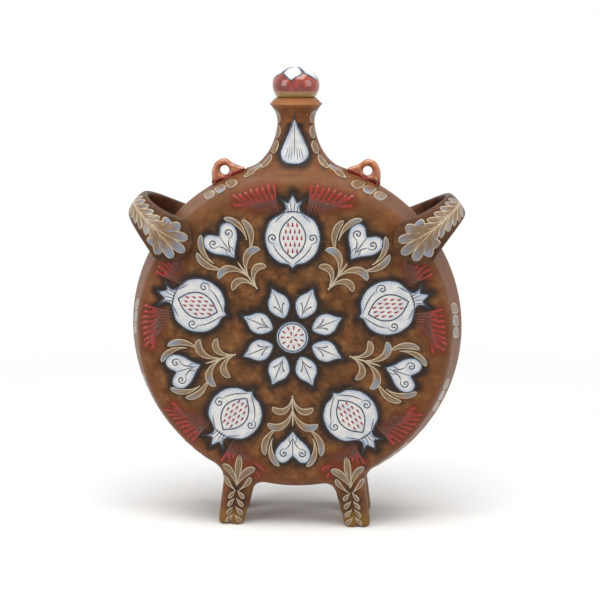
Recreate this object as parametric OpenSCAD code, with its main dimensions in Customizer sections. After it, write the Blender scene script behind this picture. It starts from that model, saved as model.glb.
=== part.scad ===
// Pilgrim flask: a round, flat-sided stoneware bottle on four cloven feet,
// with strap handles, cord lugs, a flared neck and a knobbed stopper.
// Millimetres. X runs across the flask, Y from front to back, Z up.
// The origin is on the table, under the middle of the flask.

/* [Body] */
// Radius of the body at the ridge where its two halves meet
body_r = 143; // [125:1:165]
// Height of the body's lowest point above the table
ground_gap = 27.5; // [22:0.5:40]
// Half of the body's depth, at the middle of a face
face_depth = 42; // [36:0.5:52]
// How far the middle of a face bulges beyond its edge
dome_rise = 4.3; // [2:0.1:8]
// Width of the band between a face and the ridge, seen from the front
rim_inset = 21; // [18:0.5:28]
// Outer radius of the rounded corner between face and rim band
corner_r = 13; // [10:0.5:16]
// Thickness of the body's wall
wall = 6; // [4:0.5:8]

/* [Neck] */
// Height of the throat above the top of the ridge
throat_rise = 32.5; // [28:0.5:45]
// Outer radius of the throat
throat_r = 15.5; // [14.5:0.5:18]
// Thickness of the neck's wall at the throat
neck_wall = 4.7; // [3.5:0.1:6]
// Height of the sharp lip above the throat
lip_rise = 15; // [12:0.5:20]
// Radius of the sharp lip
lip_r = 22.2; // [20:0.2:26]
// Height of the bevel above the lip
bevel_rise = 5.6; // [4:0.2:8]
// Outer radius of the mouth, at the top of the bevel
mouth_r = 16.5; // [15.5:0.1:18]
// Half width of the neck's skirt along the ridge
skirt_x = 42; // [38:0.5:44]
// Half width of the neck's skirt from front to back
skirt_y = 30; // [26:0.5:32]
// Thickness of the clay at the edge of the skirt
skirt_edge = 0.8; // [0.5:0.1:1.5]
// Radius of the hole cut through the body under the neck
neck_hole_r = 17; // [13:0.5:20]

/* [Stopper] */
// Largest radius of the knob
knob_r = 20; // [18:0.2:26]
// Height of the knob above its widest place
knob_top = 14.8; // [10:0.2:20]
// Height of the widest place above the knob's flat base
knob_waist = 10; // [8:0.2:14]
// Radius of the knob's flat base
knob_base_r = 16.6; // [14.5:0.1:17.5]
// Length of the plug below the mouth
plug_length = 27; // [18:1:34]
// Slack between the plug and the bore, at the top of the plug
plug_slack = 0.4; // [0.35:0.05:0.8]
// How much thinner the plug is at its lower end
plug_taper = 0.9; // [0.4:0.1:1.5]
// Depth of the socket in the knob that holds the plug
socket_depth = 7; // [5:0.5:9]
// Gap between the knob's base and the mouth
seat_gap = 0.3; // [0.3:0.05:0.6]

/* [Handles] */
// Height of the handles round the body, as an angle from level
handle_angle = 38.5; // [30:0.5:44]
// Radius of the arch that each strap follows, at the strap's middle
arch_r = 40; // [37:0.5:46]
// Distance of the arch's centre inside the ridge
arch_inset = 11; // [9:0.5:13]
// Width of the strap
strap_w = 23; // [18:0.5:28]
// Thickness of the strap
strap_t = 8; // [6:0.5:10]
// Radius of the round pad that ends the strap on each face
pad_r = 20.5; // [18:0.5:23]

/* [Lugs] */
// Distance of each cord hole from the middle of the flask
lug_x = 60.5; // [54:0.5:68]
// Height of the cord hole above the ridge
lug_hole_rise = 6; // [5.5:0.1:9]
// Radius of the cord hole
lug_hole_r = 3.9; // [2.5:0.1:4.4]
// Thickness of the lug from front to back
lug_t = 10; // [7:0.5:14]
// Radius of the lug round its hole
lug_r = 10.8; // [9.5:0.1:13]
// Radius of the lug's two lower corners
lug_corner_r = 2.5; // [1.5:0.1:3.5]
// Gap between the lug's tail and the neck's skirt
lug_gap = 1.2; // [0.5:0.1:3]

/* [Feet] */
// Distance of each foot from the middle, on the table
foot_x = 55; // [48:0.5:62]
// How far each foot leans in between the table and the body
foot_lean = 10; // [4:0.5:16]
// Distance of each foot's middle from the ridge, from front to back
foot_y = 20; // [17:0.5:22]
// Width of one toe
toe_w = 12.5; // [9:0.5:15]
// Depth of one toe
toe_d = 20; // [14:0.5:24]
// Distance between the middles of the two toes
toe_pitch = 10; // [7:0.5:11]
// How far the top of a foot swells beyond its toes
foot_swell = 3; // [1:0.5:4]

/* [Making] */
// Thickness of the slip that joins one piece of clay to the next
slip = 0.1; // [0.05:0.05:0.2]

/* [Hidden] */

// Facets of round surfaces, and of the rounded children of a hull
round_fn = 128;
hull_fn = 24;
// Straight steps along a face, a corner and a curve
dome_steps = 10;
corner_steps = 12;
curve_steps = 12;
// Rings down the lip, under the neck's skirt, along a handle's arch and pad
lip_steps = 8;
under_steps = 6;
arch_steps = 24;
pad_steps = 5;
// Points round the neck's skirt and round the strap
skirt_points = 48;
strap_points = 20;
// How square the strap's section is: 1 is an ellipse, less is squarer
strap_squareness = 0.75;
// Overlap that lets a cut pass right through
cut = 1;

// The section of the body, as distance from its axis and depth
body_z = ground_gap + body_r;
face_r = body_r - rim_inset;
dome_r = (face_r * face_r + dome_rise * dome_rise) / (2 * dome_rise);
dome_tilt = asin(face_r / dome_r);
corner_at = [
    face_r - corner_r * sin(dome_tilt),
    face_depth - dome_rise - corner_r * cos(dome_tilt)
];
ridge_gap = [body_r, 0] - corner_at;
// Tilt of the rim band, whose line leaves the corner and ends at the ridge
band_tilt = atan2(ridge_gap.y, ridge_gap.x) + acos(corner_r / norm(ridge_gap));
band_depth = corner_at.y + corner_r * sin(band_tilt);

// The rim band's distance from the axis, at a depth and under the surface
function band_r(depth, inset = 0) =
    body_r - inset / cos(band_tilt) - depth * tan(band_tilt);

// The outer surface's distance from the axis, on the rim band or corner
function rim_r(depth) =
    depth < band_depth
        ? band_r(depth)
        : corner_at.x + sqrt(corner_r * corner_r - pow(depth - corner_at.y, 2));

// Half a section's outline, from the axis to the plane where halves meet
function half_line(inset, from_depth) = concat(
    [for (i = [0 : dome_steps - 1])
        let (a = dome_tilt * i / dome_steps)
        [(dome_r - inset) * sin(a), face_depth - dome_r + (dome_r - inset) * cos(a)]],
    [for (i = [0 : corner_steps])
        let (a = 90 - dome_tilt + (band_tilt + dome_tilt - 90) * i / corner_steps)
        corner_at + (corner_r - inset) * [cos(a), sin(a)]],
    [[band_r(from_depth, inset), from_depth]]
);

function backwards(points) = [for (i = [len(points) - 1 : -1 : 0]) points[i]];

// A point on a cubic curve with four control points
function curve_at(c, t) =
    pow(1 - t, 3) * c[0] + 3 * t * pow(1 - t, 2) * c[1]
    + 3 * t * t * (1 - t) * c[2] + pow(t, 3) * c[3];

// Heights along the neck and stopper
throat_z = body_z + body_r + throat_rise;
lip_z = throat_z + lip_rise;
mouth_z = lip_z + bevel_rise;
bore_r = throat_r - neck_wall;
knob_z = mouth_z + seat_gap;
plug_r = bore_r - plug_slack;

// The body filled in, grown by the slip, to seat other pieces on it
module body_blank(grown = slip) {
    line = half_line(-grown, 0);
    rotate([90, 0, 0])
        rotate_extrude($fn = round_fn)
            polygon(concat(line, backwards([for (p = line) [p.x, -p.y]])));
}

// One half of the body: a face, its corner and half of the rim
module half_shell() {
    difference() {
        translate([0, 0, body_z])
            rotate([90, 0, 0])
                rotate_extrude($fn = round_fn)
                    polygon(concat(half_line(0, slip / 2), backwards(half_line(wall, slip / 2))));
        translate([0, 0, body_z])
            cylinder(h = body_r + cut, r = neck_hole_r, $fn = round_fn);
    }
}

module front_shell() {
    color("saddlebrown") half_shell();
}

module back_shell() {
    color("saddlebrown") mirror([0, 1, 0]) half_shell();
}

// A closed solid through rings of points, each ring with as many points
module loft(rings) {
    n = len(rings[0]);
    count = len(rings);
    polyhedron(
        points = [for (ring = rings) each ring],
        faces = concat(
            [[for (j = [0 : n - 1]) n - 1 - j]],
            [for (i = [0 : count - 2]) for (j = [0 : n - 1])
                [i * n + j, i * n + (j + 1) % n, (i + 1) * n + (j + 1) % n]],
            [for (i = [0 : count - 2]) for (j = [0 : n - 1])
                [i * n + j, (i + 1) * n + (j + 1) % n, (i + 1) * n + j]],
            [[for (j = [0 : n - 1]) (count - 1) * n + j]]
        ),
        convexity = 6
    );
}

// Height of the body's upper surface, over a point of the table
function top_z(x, y, grown = 0) =
    let (r = rim_r(abs(y)) + grown / cos(band_tilt))
    body_z + sqrt(r * r - x * x);

// The skirt's profiles along the ridge and from front to back
ridge_z = body_z + body_r;
skirt_handle = 18;
skirt_x_slope = skirt_x / sqrt(body_r * body_r - skirt_x * skirt_x);
skirt_y_slope = 0.6;
x_curve = [
    [throat_r, throat_z], [throat_r + 1, throat_z - 0.45 * throat_rise],
    [skirt_x - skirt_handle, top_z(skirt_x, 0) + skirt_handle * skirt_x_slope],
    [skirt_x, top_z(skirt_x, 0)]
];
y_curve = [
    [throat_r, throat_z], [throat_r + 0.5, throat_z - 0.55 * throat_rise],
    [skirt_y - skirt_handle / 2, top_z(0, skirt_y) + skirt_handle / 2 * skirt_y_slope],
    [skirt_y, top_z(0, skirt_y)]
];

// A point of the skirt: t runs from the throat to the edge, a runs round it
function skirt_point(t, a) =
    let (
        px = curve_at(x_curve, t),
        py = curve_at(y_curve, t),
        z = px[1] * pow(cos(a), 2) + py[1] * pow(sin(a), 2),
        edge_z = top_z(skirt_x * cos(a), skirt_y * sin(a)) + skirt_edge,
        blend_z = x_curve[3][1] * pow(cos(a), 2) + y_curve[3][1] * pow(sin(a), 2)
    )
    [px[0] * cos(a), py[0] * sin(a), z + pow(t, 3) * (edge_z - blend_z)];

// A point of the skirt's underside, which lies on the body: u is 1 at the edge
function under_point(u, a) =
    let (x = u * skirt_x * cos(a), y = u * skirt_y * sin(a))
    [x, y, top_z(x, y, slip)];

// The hollow curve from the sharp lip down to the throat
lip_reach = lip_r - throat_r;
lip_curve_r = (lip_reach * lip_reach + lip_rise * lip_rise) / (2 * lip_reach);
function lip_point(t) =
    let (a = asin(lip_rise / lip_curve_r) * (1 - t))
    [throat_r + lip_curve_r * (1 - cos(a)), throat_z + lip_curve_r * sin(a)];

// The neck without its bore: bevel, lip and throat are round, and the skirt
// is lofted from there to an oval edge, with an underside that fits the body
module neck_blank() {
    turns = [for (j = [0 : skirt_points - 1]) 360 * j / skirt_points];
    // The innermost ring lies inside the bore, where its cap is cut away
    inner_u = 0.8 * neck_hole_r / skirt_x;
    function round_ring(p) = [for (a = turns) [p.x * cos(a), p.x * sin(a), p.y]];
    loft(concat(
        [round_ring([mouth_r, mouth_z])],
        [for (i = [0 : lip_steps - 1]) round_ring(lip_point(i / lip_steps))],
        [for (i = [0 : curve_steps]) [for (a = turns) skirt_point(i / curve_steps, a)]],
        [for (i = [0 : under_steps])
            [for (a = turns) under_point(1 - (1 - inner_u) * i / under_steps, a)]],
        [[for (a = turns) [
            inner_u * skirt_x * cos(a), inner_u * skirt_y * sin(a), ridge_z - neck_hole_r
        ]]]
    ));
}

// The bore, straight for the plug and then flared into the body
module bore() {
    flare_z = mouth_z - plug_length - 4;
    rotate_extrude($fn = round_fn)
        polygon([
            [0, mouth_z + cut], [bore_r, mouth_z + cut], [bore_r, flare_z],
            [neck_hole_r, ridge_z - 3], [neck_hole_r, body_z], [0, body_z]
        ]);
}

module neck() {
    color("sienna")
        difference() {
            neck_blank();
            bore();
        }
}

// A ring of the strap, from its place on the arch's plane: a is the way that
// its outer side faces, w its width, and t_out and t_in its two thicknesses
function strap_ring(at, a, w, t_out, t_in) =
    [for (j = [0 : strap_points - 1])
        let (
            turn = 360 * j / strap_points,
            across = sign(sin(turn)) * pow(abs(sin(turn)), strap_squareness) * w / 2,
            out = sign(cos(turn)) * pow(abs(cos(turn)), strap_squareness),
            lift = out * (out > 0 ? t_out : t_in)
        )
        [at.x + lift * cos(a), at.y + lift * sin(a), across]];

// A handle that stands out along X: an arch over the rim that widens to a
// round pad on each face, thick where it comes off the rounded corner
module handle() {
    arch_q = body_r - arch_inset;
    outer = strap_t * 0.58;
    inner = strap_t - outer;
    root = arch_r - band_depth;
    function spread(a) = strap_w + (2 * pad_r - strap_w) * pow(abs(a) / 90, 2.5);
    function under(a) = inner + (root - inner) * pow(abs(a) / 90, 4);
    function pad_ring(b, side) = strap_ring(
        [arch_q - pad_r * sin(b), side * arch_r], side * 90,
        2 * pad_r * cos(b), outer * (0.4 + 0.6 * cos(b)), root
    );
    difference() {
        loft(concat(
            [for (i = [pad_steps : -1 : 1]) pad_ring(80 * i / pad_steps, -1)],
            [for (i = [0 : arch_steps])
                let (a = -90 + 180 * i / arch_steps)
                strap_ring([arch_q + arch_r * cos(a), arch_r * sin(a)], a, spread(a), outer, under(a))],
            [for (i = [1 : pad_steps]) pad_ring(80 * i / pad_steps, 1)]
        ));
        body_blank();
    }
}

module left_handle() {
    color("peru")
        mirror([1, 0, 0])
            translate([0, 0, body_z]) rotate([0, -handle_angle, 0]) handle();
}

module right_handle() {
    color("peru")
        translate([0, 0, body_z]) rotate([0, -handle_angle, 0]) handle();
}

// A flat pebble of clay, round seen from the front
module pebble(r) {
    edge = lug_t / 2;
    rotate([90, 0, 0])
        rotate_extrude($fn = hull_fn)
            polygon([for (i = [0 : 8])
                let (a = -90 + 180 * i / 8)
                [r - edge * 0.4 + edge * 0.4 * cos(a), edge * sin(a)]]);
}

// A lug: a pebble round the cord hole, drawn out along the ridge
module lug() {
    hole_z = top_z(lug_x, 0) + lug_hole_rise;
    outer_x = lug_x + lug_r - lug_corner_r;
    tail_x = skirt_x + lug_gap + lug_corner_r;
    difference() {
        hull() {
            translate([lug_x, 0, hole_z - 1]) pebble(lug_r);
            for (x = [outer_x, tail_x])
                translate([x, 0, top_z(x, 0)]) pebble(lug_corner_r);
        }
        translate([lug_x, 0, hole_z])
            rotate([90, 0, 0])
                cylinder(h = lug_t + 2 * cut, r = lug_hole_r, center = true, $fn = round_fn);
        translate([0, 0, body_z]) body_blank();
    }
}

module left_lug() {
    color("chocolate") mirror([1, 0, 0]) lug();
}

module right_lug() {
    color("chocolate") lug();
}

// One toe, from the table up into the body
module toe(offset, bottom_r) {
    root_x = foot_x - foot_lean;
    // The toe runs on into the body, past the surface over its own middle
    root_z = 2 * body_z - top_z(root_x, foot_y) + toe_w;
    hull() {
        for (front = [-1, 1])
            translate([foot_x + offset, foot_y + front * (toe_d - toe_w) / 2, bottom_r * 0.6])
                sphere(r = bottom_r, $fn = hull_fn);
        for (front = [-1, 1])
            translate([root_x + offset, foot_y + front * (toe_d - toe_w) / 2, root_z])
                sphere(r = toe_w / 2 + foot_swell, $fn = hull_fn);
    }
}

// A cloven foot on the right, behind the ridge
module foot() {
    difference() {
        union() {
            toe(-toe_pitch / 2, toe_w / 2 + 0.4);
            toe(toe_pitch / 2, toe_w / 2 - 0.4);
        }
        translate([0, 0, -toe_w])
            linear_extrude(toe_w)
                square(4 * foot_x, center = true);
        translate([0, 0, body_z]) body_blank();
    }
}

module front_left_foot() {
    color("tan") mirror([1, 0, 0]) mirror([0, 1, 0]) foot();
}

module front_right_foot() {
    color("tan") mirror([0, 1, 0]) foot();
}

module back_left_foot() {
    color("tan") mirror([1, 0, 0]) foot();
}

module back_right_foot() {
    color("tan") foot();
}

// The knob: a squat bulb, fuller below its widest place than above it
module stopper_knob() {
    waist_z = knob_z + knob_waist;
    // Height of the ellipse whose cut base has the radius that is wanted
    lower = knob_waist / sqrt(1 - pow(knob_base_r / knob_r, 2));
    base_a = asin(knob_waist / lower);
    color("firebrick")
        difference() {
            rotate_extrude($fn = round_fn)
                polygon(concat(
                    [[0, knob_z]],
                    [for (i = [curve_steps : -1 : 1])
                        let (a = base_a * i / curve_steps)
                        [knob_r * cos(a), waist_z - lower * sin(a)]],
                    [for (i = [0 : curve_steps])
                        let (a = 90 * i / curve_steps)
                        [knob_r * cos(a), waist_z + knob_top * sin(a)]]
                ));
            translate([0, 0, knob_z - cut])
                cylinder(h = socket_depth + cut, r = plug_r + slip, $fn = round_fn);
        }
}

// The plug, luted into the knob's socket, tapering down inside the bore
module stopper_plug() {
    top_z = knob_z + socket_depth - slip;
    color("burlywood")
        union() {
            translate([0, 0, mouth_z])
                cylinder(h = top_z - mouth_z, r = plug_r, $fn = round_fn);
            translate([0, 0, mouth_z - plug_length])
                cylinder(h = plug_length, r1 = plug_r - plug_taper, r2 = plug_r, $fn = round_fn);
        }
}

front_shell();
back_shell();
neck();
left_handle();
right_handle();
left_lug();
right_lug();
front_left_foot();
front_right_foot();
back_left_foot();
back_right_foot();
stopper_knob();
stopper_plug();
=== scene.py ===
import math

import bpy
import numpy as np
from mathutils import Matrix, Vector
from mathutils.geometry import delaunay_2d_cdt
from mathutils.kdtree import KDTree


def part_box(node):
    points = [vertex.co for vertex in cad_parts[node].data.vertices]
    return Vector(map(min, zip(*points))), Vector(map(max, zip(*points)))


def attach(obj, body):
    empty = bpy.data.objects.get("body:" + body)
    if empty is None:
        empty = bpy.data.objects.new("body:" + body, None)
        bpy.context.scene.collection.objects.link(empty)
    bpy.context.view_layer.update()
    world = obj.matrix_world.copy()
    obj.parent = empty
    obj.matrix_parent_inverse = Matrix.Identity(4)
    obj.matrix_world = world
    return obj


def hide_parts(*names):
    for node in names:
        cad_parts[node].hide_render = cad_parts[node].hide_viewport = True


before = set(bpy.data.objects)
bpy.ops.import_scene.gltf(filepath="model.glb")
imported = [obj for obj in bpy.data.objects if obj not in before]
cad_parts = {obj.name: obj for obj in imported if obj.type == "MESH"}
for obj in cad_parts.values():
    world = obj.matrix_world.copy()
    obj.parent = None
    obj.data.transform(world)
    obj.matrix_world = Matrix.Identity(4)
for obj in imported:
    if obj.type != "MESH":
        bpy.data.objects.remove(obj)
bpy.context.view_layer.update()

# The vessel: two moulded stoneware halves luted along the ridge, a thrown
# neck and four pulled feet, all smoothed over while leather hard, so that the
# joints between them don't show. Sizes here and below are millimetres.
MM = 0.001
shell_low, shell_high = (np.array(corner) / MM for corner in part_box("front_shell"))
neck_high = np.array(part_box("neck")[1]) / MM
body_r = (shell_high[0] - shell_low[0]) / 2
body_z = (shell_high[2] + shell_low[2]) / 2
face_depth = -shell_low[1]
dome_rise = 4.3
rim_inset = 21.0
corner_r = 13.0
ridge_soft = 2.0
wall = 6.0

face_r = body_r - rim_inset
dome_r = (face_r**2 + dome_rise**2) / (2 * dome_rise)
dome_tilt = math.asin(face_r / dome_r)
corner_x = face_r - corner_r * math.sin(dome_tilt)
corner_y = face_depth - dome_rise - corner_r * math.cos(dome_tilt)
ridge_gap = math.hypot(body_r - corner_x, corner_y)
band_tilt = math.atan2(-corner_y, body_r - corner_x) + math.acos(corner_r / ridge_gap)

mouth_z = neck_high[2]
bevel_rise, lip_rise, throat_rise = 5.6, 15.0, 32.5
lip_r, mouth_r, throat_r, bore_r = 22.2, 16.5, 15.5, 10.8
lip_z = mouth_z - bevel_rise
throat_z = lip_z - lip_rise
skirt_x, skirt_y, skirt_handle = 42.0, 30.0, 18.0

foot_x, foot_lean, foot_y = 55.0, 10.0, 20.0
toe_w, toe_d, toe_pitch, foot_swell = 12.5, 20.0, 10.0, 3.0


def band_r(depth):
    return body_r - depth * math.tan(band_tilt)


def top_z(x, depth):
    """Height of the body's upper surface over a point on its rim."""
    low = corner_y + corner_r * math.sin(band_tilt)
    r = band_r(depth) if depth < low else corner_x + math.sqrt(corner_r**2 - (depth - corner_y) ** 2)
    return body_z + math.sqrt(r * r - x * x)


def curve(c, t):
    """Points on the cubic curve with control points c."""
    t = np.asarray(t, float)[:, None]
    c = np.asarray(c, float)
    return (1 - t) ** 3 * c[0] + 3 * t * (1 - t) ** 2 * c[1] + 3 * t * t * (1 - t) * c[2] + t**3 * c[3]


def melt(a, b, width):
    """The nearer of two distances, with a fillet of clay where they are alike."""
    h = np.clip(0.5 + 0.5 * (b - a) / width, 0, 1)
    return b * (1 - h) + a * h - width * h * (1 - h)


def body_distance(p, inset=0.0):
    rho = np.hypot(p[:, 0], p[:, 2] - body_z)
    depth = np.sqrt(p[:, 1] ** 2 + ridge_soft**2)
    across, up = rho - corner_x, depth - corner_y
    dome = np.hypot(rho, depth - (face_depth - dome_r)) - dome_r
    band = (rho - body_r) * math.cos(band_tilt) + depth * math.sin(band_tilt)
    on_corner = (up * math.cos(band_tilt) > across * math.sin(band_tilt)) & (
        across * math.cos(dome_tilt) > up * math.sin(dome_tilt)
    )
    return np.where(on_corner, np.hypot(across, up) - corner_r, np.maximum(dome, band)) + inset


lip_reach = lip_r - throat_r
lip_curve_r = (lip_reach**2 + lip_rise**2) / (2 * lip_reach)
lip_turn = math.asin(lip_rise / lip_curve_r)
lip_points = [
    (throat_r + lip_curve_r * (1 - math.cos(a)), throat_z + lip_curve_r * math.sin(a))
    for a in np.linspace(0, lip_turn, 14)[1:-1]
]
skirt_slope = skirt_x / math.sqrt(body_r**2 - skirt_x**2)
steps = np.linspace(0, 1, 60)
flare_x = curve(
    [(throat_r, throat_z), (throat_r + 1, throat_z - 0.45 * throat_rise),
     (skirt_x - skirt_handle, top_z(skirt_x, 0) + skirt_handle * skirt_slope), (skirt_x, top_z(skirt_x, 0))],
    steps,
)[::-1]
flare_y = curve(
    [(throat_r, throat_z), (throat_r + 0.5, throat_z - 0.55 * throat_rise),
     (skirt_y - skirt_handle / 2, top_z(0, skirt_y) + 0.3 * skirt_handle), (skirt_y, top_z(0, skirt_y))],
    steps,
)[::-1]


flare_x, flare_y = np.vstack([flare_x, lip_points]), np.vstack([flare_y, lip_points])


def neck_distance(p):
    a = np.interp(p[:, 2], flare_x[:, 1], flare_x[:, 0])
    b = np.interp(p[:, 2], flare_y[:, 1], flare_y[:, 0])
    step = 0.5
    lean = (np.interp(p[:, 2] - step, flare_x[:, 1], flare_x[:, 0]) - a) / step
    return (np.hypot(p[:, 0] / a, p[:, 1] / b) - 1) * np.minimum(a, b) / np.sqrt(1 + lean**2)


def cone_distance(p, a, b, r1, r2):
    """Distance to two balls at a and b and the cone that wraps them."""
    ba = np.subtract(b, a)
    l2, rr = ba @ ba, r1 - r2
    a2 = l2 - rr * rr
    pa = p - a
    y = pa @ ba
    z = y - l2
    x2 = ((pa * l2 - np.outer(y, ba)) ** 2).sum(1)
    k = math.copysign(rr * rr, rr) * x2
    y2, z2 = y * y * l2, z * z * l2
    side = (np.sqrt(x2 * a2 / l2) + y * rr) / l2 - r1
    return np.where(
        np.sign(z) * a2 * z2 > k, np.sqrt(x2 + z2) / l2 - r2,
        np.where(np.sign(y) * a2 * y2 < k, np.sqrt(x2 + y2) / l2 - r1, side),
    )


def foot_distance(p):
    q = np.abs(p)
    q[:, 2] = p[:, 2]
    q[:, 1] = np.maximum(np.abs(q[:, 1] - foot_y) - (toe_d - toe_w) / 2, 0)
    root_x = foot_x - foot_lean
    root_z = 2 * body_z - top_z(root_x, foot_y) + toe_w
    toes = []
    for side, extra in ((-1, 0.4), (1, -0.4)):
        r = toe_w / 2 + extra
        toes.append(cone_distance(
            q, (foot_x + side * toe_pitch / 2, 0, 0.6 * r), (root_x + side * toe_pitch / 2, 0, root_z),
            r, toe_w / 2 + foot_swell,
        ))
    return -melt(-melt(toes[0], toes[1], 1.2), p[:, 2], 1.5)


def vessel_distance(p):
    d = body_distance(p)
    high, low = p[:, 2] > body_z + 0.8 * body_r, p[:, 2] < body_z - 0.6 * body_r
    d[high] = melt(d[high], neck_distance(p[high]), 3.0)
    d[low] = melt(d[low], foot_distance(p[low]), 11.0)
    return d


def slope(distance, p, step=0.05):
    return np.stack([
        distance(p + step * axis) - distance(p - step * axis) for axis in np.eye(3)
    ], 1) / (2 * step)


def surface_net(distance, low, counts, step):
    """Quads round every cell of a grid that the surface crosses."""
    axes = [low[i] + step * np.arange(counts[i] + 1) for i in range(3)]
    grid = np.stack(np.meshgrid(*axes, indexing="ij"), -1)
    inside = distance(grid.reshape(-1, 3)).reshape(grid.shape[:3]) < 0
    cells = sum(
        inside[i:i + counts[0], j:j + counts[1], k:k + counts[2]].astype(int)
        for i in (0, 1) for j in (0, 1) for k in (0, 1)
    )
    crossed = (cells > 0) & (cells < 8)
    index = np.full(counts, -1)
    index[crossed] = np.arange(crossed.sum())
    quads = []
    for axis in range(3):
        order = [axis, (axis + 1) % 3, (axis + 2) % 3]
        solid, cell = inside.transpose(order), index.transpose(order)
        i, j, k = np.argwhere((solid[:-1] != solid[1:])[:, 1:-1, 1:-1]).T
        quad = np.stack([cell[i, j, k], cell[i, j + 1, k], cell[i, j + 1, k + 1], cell[i, j, k + 1]], 1)
        inward = ~solid[i, j + 1, k + 1]
        quad[inward] = quad[inward][:, ::-1]
        quads.append(quad)
    return low + (np.argwhere(crossed) + 0.5) * step, np.concatenate(quads)


def settle(p, distance, reach, rounds=3):
    """Moves points onto the surface."""
    for _ in range(rounds):
        g = slope(distance, p)
        move = distance(p)[:, None] * g / np.maximum((g**2).sum(1), 0.01)[:, None]
        length = np.linalg.norm(move, axis=1)[:, None]
        p = p - move * np.minimum(1, reach / np.maximum(length, 1e-9))
    return p


net_step = 1.6
net_counts = np.array([
    2 * math.ceil((body_r + 3) / net_step),
    2 * math.ceil((face_depth + 3) / net_step),
    math.ceil((throat_z + 2) / net_step),
])
net_low = np.array([
    -net_counts[0] / 2 * net_step, -net_counts[1] / 2 * net_step, throat_z - (net_counts[2] - 0.5) * net_step,
])
skin, skin_quads = surface_net(vessel_distance, net_low, net_counts, net_step)
throat_ring = np.flatnonzero(skin[:, 2] > throat_z - 0.1)
skin = settle(skin, vessel_distance, net_step)
links = np.concatenate([skin_quads[:, [i, (i + 1) % 4]] for i in range(4)])
degree = np.bincount(links[:, 0], minlength=len(skin))
for _ in range(4):
    mean = np.stack([
        np.bincount(links[:, 0], skin[links[:, 1], i], len(skin)) for i in range(3)
    ], 1) / np.maximum(degree, 1)[:, None]
    mean[throat_ring] = skin[throat_ring]
    mean[degree < 3] = skin[degree < 3]
    skin = settle(skin + 0.5 * (mean - skin), vessel_distance, net_step, 2)
turn = np.arctan2(skin[throat_ring, 1], skin[throat_ring, 0])
throat_ring = throat_ring[np.argsort(turn)]
turn = np.sort(turn)
round_about = np.stack([np.cos(turn), np.sin(turn)], 1)
skin[throat_ring] = np.column_stack([throat_r * round_about, np.full(len(turn), throat_z)])

# Above the throat the neck is turned: a hollow curve to a sharp lip, a bevel,
# the mouth, and then the bore down to the inside of the body
edge_soft = 0.35
turned = lip_points + [
    (lip_r - edge_soft, lip_z - 1.1 * edge_soft), (lip_r, lip_z - 0.2 * edge_soft),
    (lip_r - edge_soft, lip_z + edge_soft),
    (mouth_r + 1.2, mouth_z - 1.1), (mouth_r + 0.3, mouth_z - 0.3), (mouth_r - 0.8, mouth_z),
    (bore_r + 1, mouth_z), (bore_r + 0.2, mouth_z - 0.4), (bore_r, mouth_z - 1.5),
    (bore_r, mouth_z - 15), (bore_r, mouth_z - 31), (bore_r + 3, mouth_z - 44),
    (bore_r + 6, body_z + body_r - 4), (bore_r + 6, body_z + body_r - wall - 6),
]
rings = [np.column_stack([r * round_about, np.full(len(turn), z)]) for r, z in turned]


def inner_ring(z):
    """A level section of the hollow, found along rays from the middle."""
    rays = np.column_stack([round_about, np.zeros(len(turn))])
    low, high = np.zeros(len(turn)), np.full(len(turn), body_r)
    for _ in range(24):
        middle = (low + high) / 2
        inside = body_distance(rays * middle[:, None] + (0, 0, z), wall) < 0
        low, high = np.where(inside, middle, low), np.where(inside, high, middle)
    return rays * low[:, None] + (0, 0, z)


hollow_r = body_r - wall - 2
rings += [inner_ring(body_z + hollow_r * math.cos(a)) for a in np.radians(np.linspace(14, 176, 36))]
points = np.concatenate([skin] + rings)
sides = len(turn)
ring_quads = []
lower = throat_ring
for number in range(len(rings)):
    upper = len(skin) + number * sides + np.arange(sides)
    ring_quads.append(np.stack([lower, np.roll(lower, -1), np.roll(upper, -1), upper], 1))
    lower = upper
bottom = list(map(int, lower))


def new_piece(name, points, faces, material=None, marks=None):
    """A mesh piece from points in millimetres, with its marks as attributes."""
    mesh = bpy.data.meshes.new(name)
    mesh.from_pydata(np.asarray(points, float) * MM, [], [list(map(int, face)) for face in faces])
    for mark, values in (marks or {}).items():
        mesh.attributes.new(mark, "FLOAT", "POINT").data.foreach_set("value", np.asarray(values, np.float32))
    mesh.shade_smooth()
    if material:
        mesh.materials.append(material)
    mesh.validate()
    piece = bpy.data.objects.new(name, mesh)
    bpy.context.scene.collection.objects.link(piece)
    return piece


def linear(colour):
    """A colour written as sRGB hex, turned to linear."""
    parts = [int(colour[i:i + 2], 16) / 255 for i in (1, 3, 5)]
    return [c / 12.92 if c <= 0.04045 else ((c + 0.055) / 1.055) ** 2.4 for c in parts] + [1]


def add(tree, kind, links=None, stops=None, **settings):
    """Adds a node: links fill its inputs with sockets or values, stops a ramp."""
    made = tree.nodes.new(kind)
    for name, value in settings.items():
        setattr(made, name, value)
    for name, value in (links or {}).items():
        if isinstance(value, bpy.types.NodeSocket):
            tree.links.new(value, made.inputs[name])
        else:
            made.inputs[name].default_value = value
    if stops:
        while len(made.color_ramp.elements) < len(stops):
            made.color_ramp.elements.new(0.5)
        for element, (place, colour) in zip(made.color_ramp.elements, stops):
            element.position = place
            element.color = linear(colour) if isinstance(colour, str) else (colour, colour, colour, 1)
    return made


def new_material(name):
    """A material with an empty tree but for its output and shader."""
    material = bpy.data.materials.new(name)
    material.use_nodes = True
    tree = material.node_tree
    tree.nodes.clear()
    shader = add(tree, "ShaderNodeBsdfPrincipled")
    add(tree, "ShaderNodeOutputMaterial", {0: shader.outputs[0]})
    return material, tree, shader


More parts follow.
